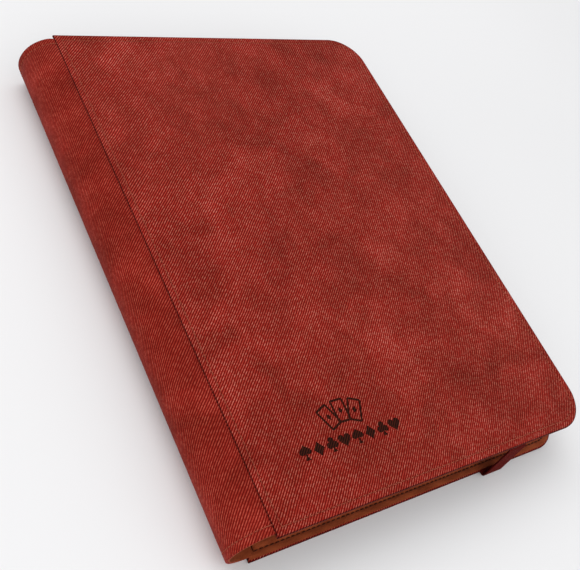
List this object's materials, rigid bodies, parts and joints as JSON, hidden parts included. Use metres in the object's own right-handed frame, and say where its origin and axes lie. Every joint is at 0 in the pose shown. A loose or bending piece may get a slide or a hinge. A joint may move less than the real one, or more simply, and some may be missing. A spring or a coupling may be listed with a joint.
{
  "type": "trading card binder",
  "caption": "Closed padded card binder with a round soft spine, hinged pocket leaves bound inside and an elastic strap.",
  "frame": {"origin": "middle of the bounding box's bottom face, on the back cover's outer face", "axes": "+X from the spine to the fore-edge, +Y along the spine, +Z out of the front cover"},
  "size_m": [0.2686, 0.3416, 0.038],
  "materials": {
    "red_fabric": "ribbed, slightly sheened",
    "suede_lining": "matte brushed",
    "foam": "matte",
    "board": "matte grey board",
    "spine_core": "matte",
    "thread": "twisted thread",
    "binding": "matte",
    "pocket_film": "glossy clear over black",
    "elastic": "woven elastic",
    "stamp": "heat-pressed, satin"
  },
  "bodies": {
    "back_cover": {"back_cover_skin": "red_fabric", "back_cover_hem": "red_fabric", "back_cover_foam": "foam", "back_cover_board": "board", "back_cover_lining": "suede_lining", "back_cover_stitching": "thread", "elastic_strap": "elastic"},
    "spine_stave_1": {"spine_skin_1": "red_fabric", "spine_core_1": "spine_core", "spine_lining_1": "suede_lining"},
    "spine_stave_2": {"spine_skin_2": "red_fabric", "spine_core_2": "spine_core", "spine_lining_2": "suede_lining"},
    "spine_stave_3": {"spine_skin_3": "red_fabric", "spine_core_3": "spine_core", "spine_lining_3": "suede_lining"},
    "spine_middle": {"spine_skin_4": "red_fabric", "spine_core_4": "spine_core", "spine_lining_4": "suede_lining", "binding_block": "binding"},
    "spine_stave_5": {"spine_skin_5": "red_fabric", "spine_core_5": "spine_core", "spine_lining_5": "suede_lining"},
    "spine_stave_6": {"spine_skin_6": "red_fabric", "spine_core_6": "spine_core", "spine_lining_6": "suede_lining"},
    "spine_stave_7": {"spine_skin_7": "red_fabric", "spine_core_7": "spine_core", "spine_lining_7": "suede_lining"},
    "front_cover": {"front_cover_skin": "red_fabric", "front_cover_hem": "red_fabric", "front_cover_foam": "foam", "front_cover_board": "board", "front_cover_lining": "suede_lining", "front_cover_stitching": "thread"},
    "leaf_01": {"leaf_01": "pocket_film"},
    "leaf_02": {"leaf_02": "pocket_film"},
    "leaf_03": {"leaf_03": "pocket_film"},
    "leaf_04": {"leaf_04": "pocket_film"},
    "leaf_05": {"leaf_05": "pocket_film"},
    "leaf_06": {"leaf_06": "pocket_film"},
    "leaf_07": {"leaf_07": "pocket_film"},
    "leaf_08": {"leaf_08": "pocket_film"},
    "leaf_09": {"leaf_09": "pocket_film"},
    "leaf_10": {"leaf_10": "pocket_film"},
    "leaf_11": {"leaf_11": "pocket_film"},
    "leaf_12": {"leaf_12": "pocket_film"},
    "leaf_13": {"leaf_13": "pocket_film"},
    "leaf_14": {"leaf_14": "pocket_film"},
    "leaf_15": {"leaf_15": "pocket_film"},
    "leaf_16": {"leaf_16": "pocket_film"},
    "leaf_17": {"leaf_17": "pocket_film"},
    "leaf_18": {"leaf_18": "pocket_film"},
    "leaf_19": {"leaf_19": "pocket_film"},
    "leaf_20": {"leaf_20": "pocket_film"}
  },
  "joints": [
    {"name": "opening", "type": "hinge", "parent": "back_cover", "child": "spine_middle", "pos_m": [-0.12995, 0, 0.00428], "axis": [0, -1, 0], "range_deg": [0, 90], "deforming": ["elastic_strap"]},
    {"name": "front_cover_opening", "type": "hinge", "parent": "spine_middle", "child": "front_cover", "pos_m": [-0.12995, 0, 0.03372], "axis": [0, -1, 0], "range_deg": [0, 90]},
    {"name": "spine_fold_1", "type": "hinge", "parent": "spine_stave_2", "child": "spine_stave_1", "pos_m": [-0.12377, 0, 0.00224], "axis": [0, -1, 0], "range_deg": [-25.71, 0]},
    {"name": "spine_fold_2", "type": "hinge", "parent": "spine_stave_3", "child": "spine_stave_2", "pos_m": [-0.13024, 0, 0.0074], "axis": [0, -1, 0], "range_deg": [-25.71, 0]},
    {"name": "spine_fold_3", "type": "hinge", "parent": "spine_middle", "child": "spine_stave_3", "pos_m": [-0.13383, 0, 0.01486], "axis": [0, -1, 0], "range_deg": [-25.71, 0]},
    {"name": "spine_fold_4", "type": "hinge", "parent": "spine_middle", "child": "spine_stave_5", "pos_m": [-0.13383, 0, 0.02314], "axis": [0, -1, 0], "range_deg": [0, 25.71]},
    {"name": "spine_fold_5", "type": "hinge", "parent": "spine_stave_5", "child": "spine_stave_6", "pos_m": [-0.13024, 0, 0.0306], "axis": [0, -1, 0], "range_deg": [0, 25.71]},
    {"name": "spine_fold_6", "type": "hinge", "parent": "spine_stave_6", "child": "spine_stave_7", "pos_m": [-0.12377, 0, 0.03576], "axis": [0, -1, 0], "range_deg": [0, 25.71]},
    {"name": "leaf_01_turn", "type": "hinge", "parent": "spine_middle", "child": "leaf_01", "pos_m": [-0.1202, 0, 0.03208], "axis": [0, -1, 0], "range_deg": [0, 90]},
    {"name": "leaf_02_turn", "type": "hinge", "parent": "spine_middle", "child": "leaf_02", "pos_m": [-0.1184, 0, 0.03064], "axis": [0, -1, 0], "range_deg": [0, 88.77]},
    {"name": "leaf_03_turn", "type": "hinge", "parent": "spine_middle", "child": "leaf_03", "pos_m": [-0.11681, 0, 0.0292], "axis": [0, -1, 0], "range_deg": [0, 85.12]},
    {"name": "leaf_04_turn", "type": "hinge", "parent": "spine_middle", "child": "leaf_04", "pos_m": [-0.11541, 0, 0.02776], "axis": [0, -1, 0], "range_deg": [0, 79.15]},
    {"name": "leaf_05_turn", "type": "hinge", "parent": "spine_middle", "child": "leaf_05", "pos_m": [-0.11422, 0, 0.02632], "axis": [0, -1, 0], "range_deg": [0, 71.02]},
    {"name": "leaf_06_turn", "type": "hinge", "parent": "spine_middle", "child": "leaf_06", "pos_m": [-0.11322, 0, 0.02488], "axis": [0, -1, 0], "range_deg": [0, 60.96]},
    {"name": "leaf_07_turn", "type": "hinge", "parent": "spine_middle", "child": "leaf_07", "pos_m": [-0.11242, 0, 0.02344], "axis": [0, -1, 0], "range_deg": [0, 49.23]},
    {"name": "leaf_08_turn", "type": "hinge", "parent": "spine_middle", "child": "leaf_08", "pos_m": [-0.11182, 0, 0.022], "axis": [0, -1, 0], "range_deg": [0, 36.15]},
    {"name": "leaf_09_turn", "type": "hinge", "parent": "spine_middle", "child": "leaf_09", "pos_m": [-0.11142, 0, 0.02056], "axis": [0, -1, 0], "range_deg": [0, 22.09]},
    {"name": "leaf_10_turn", "type": "hinge", "parent": "spine_middle", "child": "leaf_10", "pos_m": [-0.11123, 0, 0.01912], "axis": [0, -1, 0], "range_deg": [0, 7.43]},
    {"name": "leaf_11_turn", "type": "hinge", "parent": "spine_middle", "child": "leaf_11", "pos_m": [-0.11123, 0, 0.01768], "axis": [0, -1, 0], "range_deg": [-7.43, 0]},
    {"name": "leaf_12_turn", "type": "hinge", "parent": "spine_middle", "child": "leaf_12", "pos_m": [-0.11142, 0, 0.01624], "axis": [0, -1, 0], "range_deg": [-22.09, 0]},
    {"name": "leaf_13_turn", "type": "hinge", "parent": "spine_middle", "child": "leaf_13", "pos_m": [-0.11182, 0, 0.0148], "axis": [0, -1, 0], "range_deg": [-36.15, 0]},
    {"name": "leaf_14_turn", "type": "hinge", "parent": "spine_middle", "child": "leaf_14", "pos_m": [-0.11242, 0, 0.01336], "axis": [0, -1, 0], "range_deg": [-49.23, 0]},
    {"name": "leaf_15_turn", "type": "hinge", "parent": "spine_middle", "child": "leaf_15", "pos_m": [-0.11322, 0, 0.01192], "axis": [0, -1, 0], "range_deg": [-60.96, 0]},
    {"name": "leaf_16_turn", "type": "hinge", "parent": "spine_middle", "child": "leaf_16", "pos_m": [-0.11422, 0, 0.01048], "axis": [0, -1, 0], "range_deg": [-71.02, 0]},
    {"name": "leaf_17_turn", "type": "hinge", "parent": "spine_middle", "child": "leaf_17", "pos_m": [-0.11541, 0, 0.00904], "axis": [0, -1, 0], "range_deg": [-79.15, 0]},
    {"name": "leaf_18_turn", "type": "hinge", "parent": "spine_middle", "child": "leaf_18", "pos_m": [-0.11681, 0, 0.0076], "axis": [0, -1, 0], "range_deg": [-85.12, 0]},
    {"name": "leaf_19_turn", "type": "hinge", "parent": "spine_middle", "child": "leaf_19", "pos_m": [-0.1184, 0, 0.00616], "axis": [0, -1, 0], "range_deg": [-88.77, 0]},
    {"name": "leaf_20_turn", "type": "hinge", "parent": "spine_middle", "child": "leaf_20", "pos_m": [-0.1202, 0, 0.00472], "axis": [0, -1, 0], "range_deg": [-90, 0]}
  ],
  "couplings": [
    {"joint": "front_cover_opening", "follows": "opening", "ratio": 1},
    {"joint": "spine_fold_1", "follows": "opening", "ratio": -0.28571},
    {"joint": "spine_fold_2", "follows": "opening", "ratio": -0.28571},
    {"joint": "spine_fold_3", "follows": "opening", "ratio": -0.28571},
    {"joint": "spine_fold_4", "follows": "opening", "ratio": 0.28571},
    {"joint": "spine_fold_5", "follows": "opening", "ratio": 0.28571},
    {"joint": "spine_fold_6", "follows": "opening", "ratio": 0.28571},
    {"joint": "leaf_01_turn", "follows": "opening", "ratio": 1},
    {"joint": "leaf_02_turn", "follows": "opening", "ratio": 0.98636},
    {"joint": "leaf_03_turn", "follows": "opening", "ratio": 0.94582},
    {"joint": "leaf_04_turn", "follows": "opening", "ratio": 0.87947},
    {"joint": "leaf_05_turn", "follows": "opening", "ratio": 0.78914},
    {"joint": "leaf_06_turn", "follows": "opening", "ratio": 0.67728},
    {"joint": "leaf_07_turn", "follows": "opening", "ratio": 0.54695},
    {"joint": "leaf_08_turn", "follows": "opening", "ratio": 0.4017},
    {"joint": "leaf_09_turn", "follows": "opening", "ratio": 0.24549},
    {"joint": "leaf_10_turn", "follows": "opening", "ratio": 0.082579},
    {"joint": "leaf_11_turn", "follows": "opening", "ratio": -0.082579},
    {"joint": "leaf_12_turn", "follows": "opening", "ratio": -0.24549},
    {"joint": "leaf_13_turn", "follows": "opening", "ratio": -0.4017},
    {"joint": "leaf_14_turn", "follows": "opening", "ratio": -0.54695},
    {"joint": "leaf_15_turn", "follows": "opening", "ratio": -0.67728},
    {"joint": "leaf_16_turn", "follows": "opening", "ratio": -0.78914},
    {"joint": "leaf_17_turn", "follows": "opening", "ratio": -0.87947},
    {"joint": "leaf_18_turn", "follows": "opening", "ratio": -0.94582},
    {"joint": "leaf_19_turn", "follows": "opening", "ratio": -0.98636},
    {"joint": "leaf_20_turn", "follows": "opening", "ratio": -1}
  ]
}
